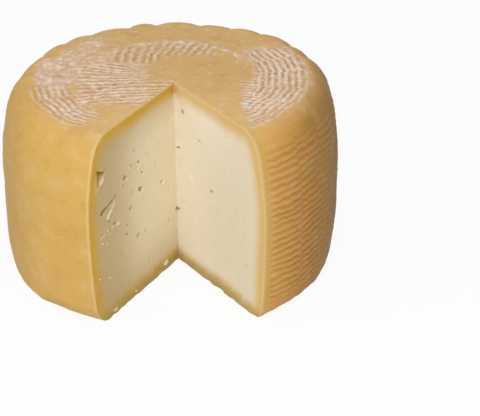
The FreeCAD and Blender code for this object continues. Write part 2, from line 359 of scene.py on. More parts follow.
class Weave:
    """The print of the basket that the cheese was pressed in.

    Each kind of ridge is a method that gives how strongly it is printed and how high a point
    lies on it, both from 0 to 1.  Directions are in degrees from +X.
    """

    SEED = 2193
    # The seed and the size of what makes the print uneven, from broad to grain
    RIPPLES = ((3, 90 * MM), (4, 24 * MM), (5, 8 * MM), (6, 4 * MM))
    # How far a stake stands off its even place, as a share of the step between two stakes
    STAKE_WANDER = 0.22
    # How far the rows between two stakes are shifted and slant, as shares of the pitch
    ROW_SHIFT = 0.08
    ROW_SLANT = 0.28
    # How much the rind swells between two stakes, as shares of the bulge
    SWELL = (0.8, 1.25)
    # Where the rings end towards the shoulder, from none to all, as distances from the axis
    RIM = (85 * MM, 79 * MM)

    def __init__(self, sizes, outline):
        self.sizes = sizes
        self.outline = outline
        chance = np.random.default_rng(self.SEED)
        count = sizes.stakes
        step = 2 * pi / count
        order = np.arange(count + 1)
        wander = chance.uniform(-self.STAKE_WANDER, self.STAKE_WANDER, count)
        wander = np.append(wander, wander[0])
        self.stakes = sizes.first_stake + (order + wander) * step
        self.shift = chance.uniform(-self.ROW_SHIFT, self.ROW_SHIFT, count) + 0.5 * (order[:-1] % 2)
        self.slant = chance.uniform(-self.ROW_SLANT, self.ROW_SLANT, count)
        self.swell = chance.uniform(*self.SWELL, count)
        self.broad, self.medium, self.fine, self.grain = (Ripple(*noise) for noise in self.RIPPLES)

    def sectors(self, theta):
        """The sector between two stakes, the share of the way across it and its middle."""
        theta = (theta - self.stakes[0]) % (2 * pi) + self.stakes[0]
        index = np.clip(np.searchsorted(self.stakes, theta, side="right") - 1, 0, len(self.shift) - 1)
        start, end = self.stakes[index], self.stakes[index + 1]
        return index, (theta - start) / (end - start), theta - (start + end) / 2

    def rows(self, at):
        """Rows of reeds on the heel: deep on the right, shallow at the back, faint on the left."""
        row = at.z / self.sizes.row_pitch + self.shift[at.index]
        row += self.slant[at.index] * (at.across - 0.5) + at.uneven(0.16, 0.10)
        height = 1 - (1 - wave(row)) ** 1.6
        # right and back rise from 0 to 1 towards the wheel's right and its back
        right = smooth(-0.35, 0.7, np.cos(at.theta))
        back = smooth(-0.2, 0.8, np.sin(at.theta))
        depth = np.clip(0.10 + 0.90 * right + 0.35 * back * (1 - right), 0, 1)
        tall = self.outline.height
        band = smooth(0.07 * tall, 0.13 * tall, at.z) * smooth(0.95 * tall, 0.86 * tall, at.z)
        between_stakes = smooth(0, 0.10, np.minimum(at.across, 1 - at.across))
        strength = depth * band * at.side * (0.62 + 0.38 * between_stakes)
        strength *= ramp(1, 7, at.from_cut + 1 * MM * at.fine)
        strength *= 1 - 0.3 * smooth(radians(-48), radians(-26), at.theta)
        return strength * np.clip(0.9 + 0.3 * at.broad + 0.12 * at.medium, 0.3, 1.15), height

    def ring_start(self, at):
        """How far to the right of the axis the rings on the right start."""
        start = 41 + 8 * ramp(-30, 6, at.y) - 7 * ramp(14, 36, at.y)
        return (start + 1.5 * at.medium + 1.5 * at.fine) * MM

    def rings(self, at):
        """Rings of reeds on the outer top face, nearly straight from stake to stake."""
        reach = at.r * np.cos(at.off_middle * 0.9)
        inner = ramp(59, 48, at.r)
        ring = reach / self.sizes.ring_pitch + 0.6 * self.shift[at.index]
        ring += at.uneven(0.14, 0.07 + 0.12 * inner, 0.02)
        start = self.ring_start(at)
        right = at.near(-9, 60) * smooth(start, start + 5 * MM, at.x)
        right *= ramp(45, 31, at.y + 4 * MM * at.medium)
        left = at.near(208, 28) * ramp(57, 62, at.r)
        left += 0.5 * at.near(138, 16) * span(62, 73, at.r, 2)
        rim = smooth(*self.RIM, at.r + 1.5 * MM * at.medium)
        strength = at.top * rim * (right * (0.95 - 0.35 * inner) + 0.72 * left)
        return broken(strength, at, 0.55), wave(ring)

    def left_strokes(self, at):
        """Strokes side by side on the left of the top face, hardly spread."""
        upper = ramp(-6, 16, at.y)
        tilt = 0.42 * upper - 0.12 * ramp(-12, -30, at.y)
        stroke = (at.y + tilt * (at.x + 45 * MM)) / self.sizes.stroke_pitch
        stroke += at.uneven(0.22, 0.16, 0.06)
        end = -2 - 26 * upper + 5 * at.medium + 3 * at.fine
        strength = at.top * span(-52, end, at.x + 1.5 * MM * at.fine, 3)
        strength *= span(-33, 22, at.y + 2 * MM * at.medium, 3)
        return broken(strength, at, 0.8), wave(stroke)

    def back_strokes(self, at):
        """Strokes at the back of the top face, weaker than the others."""
        lean = 0.12 + 0.36 * ramp(-20, 12, at.x)
        stroke = (at.x - lean * (at.y - 40 * MM)) / (1.12 * self.sizes.stroke_pitch)
        stroke += at.uneven(0.18, 0.16, 0.05)
        start = (30 - 9 * ramp(0, -12, at.x)) * MM
        start += at.uneven(3, 3) * MM
        strength = at.top * smooth(start - 2 * MM, start + 4 * MM, at.y) * ramp(53, 49, at.r)
        strength *= span(-33, 28, at.x, 5)
        return 0.75 * broken(strength, at), wave(stroke)

    def right_strokes(self, at):
        """Short strokes inside the rings on the right of the top face."""
        stroke = (at.y + 0.25 * (at.x - 45 * MM)) / self.sizes.comb_pitch + 0.14 * at.fine
        strength = at.top * span(42, 51, at.x + 1.5 * MM * at.medium, 2)
        return 0.8 * broken(strength, at) * span(-50, -4, at.y, 4), wave(stroke)

    def swelling(self, at):
        """How far the rind falls back from where it swells most, between the stakes."""
        dome = np.sin(pi * at.across) ** 0.45
        tall = self.outline.height
        band = at.side * (0.25 + 0.75 * smooth(0.6 * tall, 0.88 * tall, at.z))
        band += at.top * ramp(62, 78, at.r) * 0.6
        back = 0.25 + 0.85 * smooth(-0.35, 0.3, np.sin(at.theta))
        return self.sizes.bulge * (dome * self.swell[at.index] - 0.75) * band * back

    def fullness(self, at):
        """How far the whole cheese departs from a true drum: full shoulders, an uneven heel."""
        tall = self.outline.height
        shoulder = smooth(0.7 * tall, 0.93 * tall, at.z) * smooth(0, 0.25, at.side)
        towards_x = np.cos(at.theta)
        sides = 1.3 * smooth(0.2, 0.9, towards_x) + 0.5 * smooth(-0.2, -0.9, towards_x)
        low_left = at.near(188, 55) * smooth(0.5 * tall, 0.2 * tall, at.z) * at.side
        belly = between(0.35 * tall, 0.7 * tall, at.z, 0.12 * tall)
        right_belly = at.near(-5, 60) * belly * at.side
        return MM * (shoulder * (0.1 + sides) + 2.3 * low_left - 0.7 * right_belly)

    def kinds(self, at):
        """Every kind of ridge: its strength, height, depth and how white its crests are."""
        row_depth, ring_depth = self.sizes.row_depth, self.sizes.ring_depth
        return (
            (*self.rows(at), row_depth, 0.0),
            (*self.rings(at), ring_depth, 0.9),
            (*self.left_strokes(at), ring_depth, 0.85),
            (*self.back_strokes(at), ring_depth, 0.8),
            (*self.right_strokes(at), 0.8 * ring_depth, 1.0),
        )

    def relief(self, at):
        """Height of the rind over the plain drum."""
        rise = self.swelling(at) + self.fullness(at) - 0.25 * MM
        rise += MM * (0.4 * at.broad + 0.15 * at.medium + 0.12 * at.fine)
        for strength, height, depth, _ in self.kinds(at):
            rise += depth * strength * (height - 0.8)
        return rise

    def marks(self, at):
        """What the finish reads at each point, each from 0 to 1."""
        printed, crest, bloom = np.zeros((3, len(at.x)))
        for strength, height, _, white in self.kinds(at):
            printed += strength
            crest += strength * height
            bloom += white * strength * height**2
        least = 1e-6
        return {
            "heel": at.side,
            "printed": np.clip(printed, 0, 1),
            "crest": np.where(printed > least, crest / np.maximum(printed, least), 0.5),
            "bloom": np.clip(bloom, 0, 1),
            "veil": self.veil(at),
            "warm": spots(at, WARM_SPOTS),
            "cool": spots(at, COOL_SPOTS),
        }

    def veil(self, at):
        """The thin whitish cover over the printed parts of the top face, from 0 to 1."""
        # Two mottled blobs on the left, and then the parts that the ridges cover
        blob = np.hypot((at.x + 65 * MM) / 14, (at.y - 12 * MM) / 24) / MM
        mottled = smooth(1.25, 0.80, blob + 0.15 * at.medium + 0.08 * at.fine)
        corner = np.hypot(at.x + 44 * MM, at.y - 30 * MM) / (11 * MM)
        mottled = np.maximum(mottled, 0.7 * smooth(1.25, 0.7, corner + 0.2 * at.medium))
        left = span(-54, -12, at.x, 5) * span(-34, 27, at.y, 5)
        low_left = at.near(207, 26) * span(60, 77, at.r, 3)
        start = self.ring_start(at) - 3 * MM
        right = at.near(-6, 64) * smooth(start, start + 6 * MM, at.x)
        right *= smooth(*self.RIM, at.r) * ramp(46, 34, at.y)
        back = at.near(100, 60) * span(36, 54, at.r, 4)
        wander = 2 * MM * at.medium + 1 * MM * at.fine
        rim_line = at.near(88, 75) * span(50, 53.5, at.r + wander, 1.5)
        arcs = at.near(138, 20) * span(60, 75, at.r, 3)
        cover = np.maximum.reduce(
            [mottled, 0.5 * left, 0.55 * low_left, 0.6 * right, 0.25 * back, 0.9 * rim_line, 0.5 * arcs]
        )
        return at.top * np.clip(cover * (0.88 + at.uneven(0.28, 0.30, 0.20)), 0, 1)


# Warm and cool spots on the top face: the middle's two coordinates and the radius, in millimetres
WARM_SPOTS = ((-66, 6, 3.5), (-61, 5, 3), (-57, -24, 4), (-45, -18, 3.5))
COOL_SPOTS = ((42, -37, 2.2), (43, -42, 1.8))


def spots(at, places):
    """1 in the spots and 0 outside, with uneven edges."""
    nearest = np.min([np.hypot(at.x - x * MM, at.y - y * MM) / (r * MM) for x, y, r in places], axis=0)
    return at.top * smooth(1.3, 0.7, nearest + 0.25 * at.fine)


# ---- Modelling helpers ----


def settings():
    return bpy.context.scene.pecorino


def make_active(*things):
    """Select these objects and nothing else, with the first as the active one."""
    for thing in bpy.context.view_layer.objects:
        thing.select_set(thing in things)
    bpy.context.view_layer.objects.active = things[0]


def read(items, name, width=3, kind=float):
    """The numbers called name of every vertex, edge or face, one row for each."""
    flat = np.empty(len(items) * width, kind)
    items.foreach_get(name, flat)
    return flat.reshape(-1, width)


def write_points(mesh, points):
    mesh.vertices.foreach_set("co", points.ravel())
    mesh.update()


@contextmanager
def editing(piece, kind, chosen):
    """Edit Mode on one piece, with the chosen ones of its faces or edges selected."""
    make_active(piece)
    bpy.ops.object.mode_set(mode="EDIT")
    bpy.ops.mesh.select_mode(type=kind)
    bpy.ops.mesh.select_all(action="DESELECT")
    bpy.ops.object.mode_set(mode="OBJECT")
    items = piece.data.polygons if kind == "FACE" else piece.data.edges
    items.foreach_set("select", chosen)
    bpy.ops.object.mode_set(mode="EDIT")
    yield
    bpy.ops.object.mode_set(mode="OBJECT")


def subdivide_faces(piece, chosen, cuts):
    """Divide the chosen faces of a mesh more finely."""
    with editing(piece, "FACE", chosen):
        bpy.ops.mesh.subdivide(number_cuts=cuts)


def store(mesh, name, values):
    """Keep one value for each point of the mesh, for the finish to read."""
    layer = mesh.attributes.new(name, "FLOAT", "POINT")
    layer.data.foreach_set("value", values)


def apex():
    wheel = settings().wheel
    return np.array([wheel.apex_right, -wheel.apex_front])


def cut_directions():
    """Directions of the right and of the left cut face, as angles from +X about the apex."""
    wheel = settings().wheel
    return -pi / 2 + wheel.cut_right, 3 * pi / 2 - wheel.cut_left


def along_and_across(direction):
    """Unit vectors in plan: in a direction, and a quarter turn to its left."""
    return np.array([cos(direction), sin(direction)]), np.array([-sin(direction), cos(direction)])


def distance_to_cuts(points):
    """How far points lie inside the nearer of the two cut faces' planes."""
    from_apex = points[:, :2] - apex()
    gaps = []
    for direction in cut_directions():
        along, across = along_and_across(direction)
        gaps.append(np.where(from_apex @ along > 0, np.abs(from_apex @ across), FAR))
    return np.minimum(*gaps)


# ---- The wheel's form ----


# The print's strength from which the mesh is divided more finely
REFINE_FROM = 0.42


class Form:
    """Places the points of the template: u runs out from the apex, v up, phi round the apex."""

    # The part of u on the flat top and base; the rest of u goes round the two edges
    FLAT_SHARE = 0.88
    # How far the shaped wheel stays inside the drum, at its side and at its top
    SIDE_MARGIN = 0.05 * MM
    TOP_MARGIN = 0.03 * MM
    # The outward part of the normal from which the rind counts as heel all over
    HEEL_NORMAL = 0.8
    # The largest u that counts as on the top or the base and not on the side
    JUST_INSIDE = 1 - 1e-5

    def __init__(self):
        group = settings()
        self.outline = Outline(group.wheel)
        self.weave = Weave(group.weave, self.outline)
        self.apex = apex()
        self.limit = group.wheel.radius - self.SIDE_MARGIN
        self.top_limit = group.wheel.height - self.TOP_MARGIN

    def reach(self, phi, r):
        """Distance from the apex, in direction phi, to the circle of radius r about the axis."""
        across = self.apex[0] * np.cos(phi) + self.apex[1] * np.sin(phi)
        return -across + np.sqrt(across**2 - self.apex @ self.apex + r**2)

    def surface(self, u, v, phi):
        """Distance from the apex, height and place on the print of points of the outer skin.

        There u is 1, or v is 0 or 1.
        """
        outline = self.outline
        on_side = u > self.JUST_INSIDE
        on_top = ~on_side & (v > 0.5)
        flat = np.clip(u / self.FLAT_SHARE, 0, 1)
        bend = np.clip((u - self.FLAT_SHARE) / (1 - self.FLAT_SHARE), 0, 1)
        side_length = outline.shoulder_middle - outline.foot_middle
        along = outline.foot_middle + v * side_length
        to_shoulder = outline.length - bend * (outline.length - outline.shoulder_middle)
        along = np.where(on_side, along, np.where(on_top, to_shoulder, bend * outline.foot_middle))
        r, z, normal_r, normal_z = outline.at(along)
        distance = self.reach(phi, r) * np.where(on_side, 1, flat)
        direction = np.stack([np.cos(phi), np.sin(phi)], axis=1)
        plan = self.apex + distance[:, None] * direction
        points = np.column_stack([plan, z])
        at = Place(self.weave, points, np.clip(normal_r / self.HEEL_NORMAL, 0, 1))
        # The relief fades out at the base and by the apex line
        rise = self.weave.relief(at) * ramp(1, 7, z) * ramp(0, 6, distance)
        out = np.minimum(distance + rise * normal_r - self.tuck(at, u), self.reach(phi, self.limit))
        return out, np.minimum(z + rise * normal_z, self.top_limit), at

    def tuck(self, at, u):
        """How far the foot draws in: more beside the left cut than elsewhere, and unevenly."""
        low = ramp(15, 0, at.z) * smooth(0.5, 1, u / self.FLAT_SHARE)
        beside_cut = at.near(241, 26)
        return MM * low * (3.6 * beside_cut + 0.5 * at.medium + 0.35 * at.fine + 0.5)

    def sheet(self, u, v, phi):
        """Points of a cut face, spread evenly between the skin's edge and the apex line."""
        one = np.ones_like(u)
        zero = np.zeros_like(u)
        inside = np.minimum(u, self.JUST_INSIDE)
        bottom_d, bottom_z, _ = self.surface(inside, zero, phi)
        top_d, top_z, _ = self.surface(inside, one, phi)
        side_d, side_z, _ = self.surface(one, v, phi)
        apex_z = v * self.top_limit
        low_d, low_z, _ = self.surface(one, zero, phi)
        high_d, high_z, _ = self.surface(one, one, phi)
        distance = (1 - v) * bottom_d + v * top_d + u * side_d
        distance -= (1 - v) * u * low_d + v * u * high_d
        height = (1 - v) * bottom_z + v * top_z + (1 - u) * apex_z + u * side_z
        height -= (1 - u) * v * self.top_limit + (1 - v) * u * low_z + v * u * high_z
        return distance, height


def add_cut_template(direction, columns, rows):
    """A flat grid that stands on the apex line and runs out in one direction."""
    wheel = settings().wheel
    centre = apex() + wheel.radius / 2 * along_and_across(direction)[0]
    bpy.ops.object.select_all(action="DESELECT")
    bpy.ops.mesh.primitive_grid_add(
        x_subdivisions=columns,
        y_subdivisions=rows,
        size=1,
        location=(centre[0], centre[1], wheel.height / 2),
        rotation=(pi / 2, 0, direction),
    )
    grid = bpy.context.object
    grid.scale = (wheel.radius, wheel.height, 1)
    bpy.ops.object.transform_apply(location=True, rotation=True, scale=True)
    return grid


def spin_skin(grid, start, end, steps):
    """Spin the grid's bottom, outer and top edges round the apex line."""
    wheel = settings().wheel
    centre = apex()
    points = read(grid.data.vertices, "co")
    u = np.hypot(points[:, 0] - centre[0], points[:, 1] - centre[1]) / wheel.radius
    v = points[:, 2] / wheel.height
    ends = read(grid.data.edges, "vertices", 2, int)
    near = 1e-4
    chosen = np.zeros(len(ends), bool)
    for side in (u > 1 - near, v < near, v > 1 - near):
        chosen |= side[ends[:, 0]] & side[ends[:, 1]]
    with editing(grid, "EDGE", chosen):
        bpy.ops.mesh.spin(
            steps=steps,
            dupli=False,
            angle=start - end,
            use_auto_merge=False,
            center=(centre[0], centre[1], 0),
            axis=(0, 0, 1),
        )


def merge_and_face_out(piece):
    """Merge points that lie on each other, and point every face outwards."""
    with editing(piece, "FACE", np.ones(len(piece.data.polygons), bool)):
        bpy.ops.mesh.remove_doubles(threshold=MERGE)
        bpy.ops.mesh.normals_make_consistent(inside=False)


class Template:
    """Reads points of the unshaped wheel: u and v as in Form, and the direction phi."""

    # Points this near to an edge of the template, as a share of its size, are on it
    NEAR = 0.002

    def __init__(self, points, form, start, end):
        radius, height = settings().wheel.radius, settings().wheel.height
        plan = points[:, :2] - form.apex
        middle = (start + end) / 2
        u = np.hypot(*plan.T) / radius
        v = points[:, 2] / height
        self.u = np.where(u > 1 - self.NEAR, 1, u)
        self.v = np.where(v < self.NEAR, 0, np.where(v > 1 - self.NEAR, 1, v))
        self.phi = (np.arctan2(plan[:, 1], plan[:, 0]) - middle + pi) % (2 * pi) - pi + middle
        self.skin = (self.u == 1) | (self.v == 0) | (self.v == 1)

    def on_skin(self):
        return self.u[self.skin], self.v[self.skin], self.phi[self.skin]

    def on_sheets(self):
        return self.u[~self.skin], self.v[~self.skin], self.phi[~self.skin]


def refine_print(piece, form, start, end):
    """Divide the template more finely where the basket's print is deep."""
    template = Template(read(piece.data.polygons, "center"), form, start, end)
    _, _, at = form.surface(*template.on_skin())
    deep = np.zeros(len(template.u), bool)
    deep[template.skin] = form.weave.marks(at)["printed"] > REFINE_FROM
    subdivide_faces(piece, deep, 1)


def shape_wheel(piece, form, start, end):
    """Move every point of the template to its place on the wheel, and store the print's marks."""
    mesh = piece.data
    template = Template(read(mesh.vertices, "co"), form, start, end)
    skin, phi = template.skin, template.phi
    distance = np.empty(len(skin))
    height = np.empty(len(skin))
    distance[skin], height[skin], at = form.surface(*template.on_skin())
    distance[~skin], height[~skin] = form.sheet(*template.on_sheets())
    plan = form.apex + distance[:, None] * np.stack([np.cos(phi), np.sin(phi)], axis=1)
    write_points(mesh, np.column_stack([plan, height]))
    for name, values in form.weave.marks(at).items():
        everywhere = np.zeros(len(skin))
        everywhere[skin] = values
        store(mesh, name, everywhere)


def join_base(piece):
    """Make one face of the flat base, which the template split up."""
    low = read(piece.data.polygons, "center")[:, 2] < MERGE
    facing_down = read(piece.data.polygons, "normal")[:, 2] < FACING_DOWN
    with editing(piece, "FACE", low & facing_down):
        bpy.ops.mesh.dissolve_faces()


def mark_paste(piece):
    """Give the faces that lie in a cut plane the paste's finish and all others the rind's."""
    mesh = piece.data
    mesh.materials.append(rind_finish())
    mesh.materials.append(paste_finish())
    on_cut = distance_to_cuts(read(mesh.polygons, "center")) < ON_CUT
    mesh.polygons.foreach_set("material_index", on_cut.astype(int))


class PECORINO_OT_wheel(bpy.types.Operator):
    """Model the wheel with its notch and the print of the basket"""

    bl_idname = "pecorino.wheel"
    bl_label = "Wheel"

    # Faces along a cut face, up it, and round the wheel from one cut face to the other
    COLUMNS = 64
    ROWS = 92
    STEPS = 200

    def execute(self, context):
        right, left = cut_directions()
        wheel = add_cut_template(right, self.COLUMNS, self.ROWS)
        spin_skin(wheel, right, left, self.STEPS)
        lid = add_cut_template(left, self.COLUMNS, self.ROWS)
        make_active(wheel, lid)
        bpy.ops.object.join()
        merge_and_face_out(wheel)
        wheel.name = "wheel"
        wheel.data.name = "wheel"
        form = Form()
        refine_print(wheel, form, right, left)
        shape_wheel(wheel, form, right, left)
        merge_and_face_out(wheel)
        join_base(wheel)
        mark_paste(wheel)
        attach(wheel, BODY)
        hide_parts(NODE)
        return {"FINISHED"}


# ---- Eyes ----


class Eye:
    """One hollow of a cut face, or a crumb that stands out of it, in millimetres and degrees.

    along is the distance from the notch's inner edge, height the height above the base, width
    and tall the size of the opening, deep the depth as a share of the smaller of the two, or
    less than 0 for a crumb.  tilt is the slant, which lifts the outer end, toasted how brown
    the inside is, and lip how far the paste stands out below the opening.  With corners the
    opening is a rounded polygon.
    """

    # The outline's lobes, and how far each stands out as a share of its size
    LOBES = (2, 3, 5)
    LOBE = 0.10
    # How much wider than its plain outline an opening with corners is
    CORNER_WIDTH = 1.25

    def __init__(self, along, height, width, tall, deep=0.8, tilt=0, toasted=0.0, lip=0.0, corners=0):
        self.along = along * MM
        self.height = height * MM
        self.width = width * MM
        self.tall = tall * MM
        self.depth = deep * min(width, tall) * MM
        self.tilt = radians(tilt)
        self.toasted = toasted
        self.lip = lip * MM
        self.corners = corners
        chance = np.random.default_rng(int(97 * along + height))
        self.phases = chance.uniform(0, 2 * pi, len(self.LOBES))

    def spread(self, along, height):
        """Distance from the eye's middle as a share of its outline, which is uneven."""
        x = along - self.along
        z = height - self.height
        across = (x * cos(self.tilt) + z * sin(self.tilt)) / (self.width / 2)
        up = (z * cos(self.tilt) - x * sin(self.tilt)) / (self.tall / 2)
        turn = np.arctan2(up, across)
        lobes = zip(self.LOBES, self.phases)
        edge = 1 + sum(self.LOBE * np.sin(count * turn + phase) for count, phase in lobes)
        if self.corners:
            part = 2 * pi / self.corners
            off_side = (turn - pi / 2) % part - part / 2
            edge = edge * cos(part / 2) / np.cos(off_side) * self.CORNER_WIDTH
        return np.hypot(across, up) / edge

    def gap(self, along, height):
        """About how far points lie outside the opening, less than 0 within it."""
        return (self.spread(along, height) - 1) * min(self.width, self.tall) / 2

    def sink(self, along, height):
        """How deep the eye hollows the face out at each point."""
        spread = self.spread(along, height)
        bowl = self.depth * (1 - np.minimum(spread, 1) ** 3) ** 0.5
        below = ramp(0.5, -1.5, height - self.height)
        return bowl - self.lip * below * smooth(1, 1.25, spread) * smooth(2.3, 1.5, spread)


# The eyes of each cut face that are large enough to be told apart, and its larger crumbs
LEFT_EYES = (
    Eye(80.8, 94.2, 8.0, 8.6, 0.4, tilt=-33, toasted=0.9, lip=0.2, corners=3),
    Eye(79.2, 90.2, 5.0, 3.0, -0.25, tilt=-40),
    Eye(79.0, 70.8, 6.0, 3.2, 1.2, tilt=-15),
    Eye(72.4, 67.4, 6.4, 2.4, -0.3, tilt=-32),
    Eye(68.6, 70.6, 6.0, 1.8, -0.3, tilt=-28),
    Eye(74.6, 65.0, 2.8, 3.2, -0.3),
    Eye(64.4, 56.4, 3.8, 2.0, -0.35, tilt=-15),
    Eye(73.0, 62.6, 3.4, 1.8, tilt=-15),
    Eye(67.5, 58.4, 3.6, 2.0, tilt=-15, lip=0.4),
    Eye(80.5, 57.2, 3.0, 1.6, 0.4, tilt=-20, toasted=0.3, lip=0.4),
    Eye(81.2, 51.6, 2.2, 1.8, -0.3),
    Eye(75.4, 57.4, 1.8, 1.3, -0.4),
    Eye(72.0, 55.0, 1.8, 1.2, 0.5, lip=0.3),
    Eye(66.0, 52.0, 2.0, 1.2, 0.5, tilt=20),
    Eye(70.4, 50.6, 1.6, 1.1, 0.5, lip=0.3),
    Eye(77.0, 49.4, 1.4, 1.1, -0.4),
    Eye(55.5, 81.4, 3.2, 3.4, tilt=-20, lip=0.3),
    Eye(57.0, 77.0, 2.6, 1.2, tilt=-30),
    Eye(48.5, 86.0, 4.6, 0.9, tilt=30),
    Eye(40.4, 84.6, 3.0, 2.0, 0.6, tilt=40, toasted=0.5, lip=0.4),
    Eye(43.0, 82.0, 3.0, 1.6, 0.5, tilt=15, lip=0.4),
    Eye(37.2, 76.4, 4.0, 1.4, 0.6, tilt=52, lip=0.4),
    Eye(39.8, 67.0, 4.6, 3.0, 0.6, tilt=10, toasted=0.9, lip=0.4),
    Eye(16.2, 60.8, 4.4, 2.0, 0.5, tilt=5, toasted=0.3, lip=0.5),
    Eye(48.0, 68.6, 2.6, 2.2, 0.4),
    Eye(50.8, 59.6, 3.2, 2.6, 0.6),
    Eye(6.6, 96.4, 3.6, 1.8, 0.5, lip=0.2),
    Eye(45.2, 94.0, 2.0, 1.4),
    Eye(30.6, 85.5, 2.4, 1.0, 0.6, tilt=15),
    Eye(54.5, 50.8, 3.0, 1.2, tilt=15),
    Eye(56.0, 45.4, 3.0, 1.6, tilt=20),
    Eye(62.0, 35.6, 2.8, 1.2, tilt=5),
    Eye(43.8, 38.6, 3.8, 2.2, 0.6, tilt=-15),
    Eye(36.0, 38.0, 3.0, 1.2),
    Eye(15.8, 42.0, 2.6, 1.4, 0.6),
    Eye(8.8, 52.2, 2.8, 1.2, 0.6),
    Eye(9.4, 33.0, 2.4, 1.2, 0.6),
    Eye(0.6, 35.0, 2.2, 3.0, toasted=1.0),
    Eye(0.8, 112.6, 3.6, 3.6, 0.12, toasted=0.6),
    Eye(32.8, 17.0, 2.6, 1.4, 0.6),
    Eye(75.6, 26.6, 2.8, 1.4, -0.4, tilt=20),
    Eye(86.0, 31.0, 2.2, 1.4, -0.4, tilt=20),
    Eye(15.0, 5.0, 4.4, 3.4, -0.35),
    Eye(71.5, 3.0, 5.0, 2.2, -0.4),
    Eye(49.0, 3.4, 2.6, 1.8, -0.4),
)
RIGHT_EYES = (
    Eye(8.4, 102.4, 3.4, 2.8, 0.6, tilt=15, toasted=0.5),
    Eye(25.2, 90.6, 3.8, 1.4, 0.5, tilt=15, toasted=0.3),
    Eye(2.8, 77.0, 4.4, 1.3, tilt=22, toasted=1.0),
    Eye(37.6, 63.0, 3.8, 1.8, tilt=15, toasted=0.7),
    Eye(15.0, 61.4, 8.0, 6.0, -0.05),
    Eye(53.5, 104.0, 4.0, 1.2, 0.5, tilt=18),
    Eye(50.0, 97.2, 2.2, 1.2, 0.5),
    Eye(70.0, 61.0, 2.2, 1.2, 0.5),
    Eye(69.6, 48.0, 3.0, 1.2, 0.5, tilt=10),
    Eye(72.5, 30.0, 1.8, 1.6),
    Eye(0.8, 35.2, 4.0, 1.5, tilt=22, toasted=1.0),
    Eye(0.8, 113.0, 2.6, 3.0, 0.1, toasted=0.5),
    Eye(18.4, 16.0, 3.4, 1.8, 0.4),
)


def crack_eyes(seed, count, start, end):
    """A ragged crack: hollows in a row that run into each other.

    start and end are distances along the face and heights, in millimetres.
    """
    chance = np.random.default_rng(seed)
    for order in range(count):
        share = (order + 0.5) / count
        along = start[0] + share * (end[0] - start[0]) + chance.uniform(-0.3, 0.3)
        height = start[1] + share * (end[1] - start[1]) + chance.uniform(-0.45, 0.45)
        thick = chance.uniform(1.0, 1.9)
        yield Eye(along, height, 3.4, thick, deep=1.3, tilt=chance.uniform(-45, 0))


def fine_eyes(seed, count):
    """Pinprick eyes, scattered over a cut face."""
    chance = np.random.default_rng(seed)
    for _ in range(count):
        along, height = chance.uniform(8, 82), chance.uniform(12, 108)
        width = chance.uniform(0.9, 1.8)
        tall = width * chance.uniform(0.5, 0.9)
        yield Eye(along, height, width, tall, deep=0.6, tilt=chance.uniform(-20, 40))


class CutFace:
    """A cut face: its direction from the notch's inner edge, the way into the paste, its eyes."""

    # The seed and the size of what makes its foot crumbly
    CRUMBLE = (9, 9 * MM)

    def __init__(self, direction, side, eyes):
        self.crumble = Ripple(*self.CRUMBLE)
        self.along, across = along_and_across(direction)
        self.inward = side * across
        self.eyes = eyes

    def read(self, points):
        """Distance from the notch's inner edge along the face, and depth behind its plane."""
        from_apex = points[:, :2] - apex()
        return from_apex @ self.along, from_apex @ self.inward

    def on_face(self, points):
        """Which points lie in the face's plane."""
        along, behind = self.read(points)
        return (np.abs(behind) < ON_CUT) & (along > 0)

    def near_eye(self, points, reach):
        """Which points lie within reach of an eye's opening."""
        along, _ = self.read(points)
        gaps = [eye.gap(along, points[:, 2]) for eye in self.eyes]
        return self.on_face(points) & (np.min(gaps, axis=0) < reach)

    def sink(self, points):
        """How deep each point sinks into the paste, less than 0 where it stands out."""
        along, _ = self.read(points)
        height = points[:, 2]
        sinks = [eye.sink(along, height) for eye in self.eyes]
        torn = MM * (0.2 + 0.7 * self.crumble(points)) * ramp(3.5, 0, height)
        return np.max(sinks, axis=0) + np.min(sinks, axis=0) + np.maximum(torn, 0)

    def toasted(self, points):
        """How brown the inside of an eye is at each point, from 0 to 1."""
        along, _ = self.read(points)
        height = points[:, 2]
        shades = [eye.toasted * smooth(1.15, 0.8, eye.spread(along, height)) for eye in self.eyes]
        return np.max(shades, axis=0)


def cut_faces():
    right, left = cut_directions()
    crack = crack_eyes(seed=8, count=11, start=(65.5, 74.8), end=(80.0, 70.4))
    return (
        CutFace(left, -1, (*LEFT_EYES, *crack, *fine_eyes(seed=21, count=16))),
        CutFace(right, 1, (*RIGHT_EYES, *fine_eyes(seed=22, count=8))),
    )


class PECORINO_OT_eyes(bpy.types.Operator):
    """Hollow the eyes out of the two cut faces"""

    bl_idname = "pecorino.eyes"
    bl_label = "Eyes"

    # How far round an eye the faces are divided, and by how many cuts
    REACH = 0.7 * MM
    CUTS = 3

    def execute(self, context):
        wheel = bpy.data.objects["wheel"]
        mesh = wheel.data
        centres = read(mesh.polygons, "center")
        near_eye = np.zeros(len(centres), bool)
        faces = cut_faces()
        for face in faces:
            near_eye |= face.near_eye(centres, self.REACH)
        subdivide_faces(wheel, near_eye, self.CUTS)
        points = read(mesh.vertices, "co")
        hollow, toasted = np.zeros((2, len(points)))
        for face in faces:
            chosen = face.on_face(points)
            sink = face.sink(points[chosen])
            hollow[chosen] = sink
            toasted[chosen] = face.toasted(points[chosen])
            points[chosen, :2] += sink[:, None] * face.inward
        write_points(mesh, points)
        # How deep each point sinks, which the paste's finish turns into painted shade inside the eyes
        store(mesh, "hollow", ramp(0.1, 1.4, hollow))
        store(mesh, "raised", ramp(-0.05, -0.4, hollow))
        store(mesh, "toasted", toasted)
        return {"FINISHED"}


# ---- Finishes ----


WHITE = (1, 1, 1)
# The rays that show a background: straight from the camera, mirrored and refracted
SEEING_RAYS = ("Is Camera Ray", "Is Glossy Ray", "Is Transmission Ray")


def both_ways(operation):
    """The methods for one of Python's operators and for its reflected form."""
    return (
        lambda value, other: value.maths(operation, value, other),
        lambda value, other: value.maths(operation, other, value),
    )


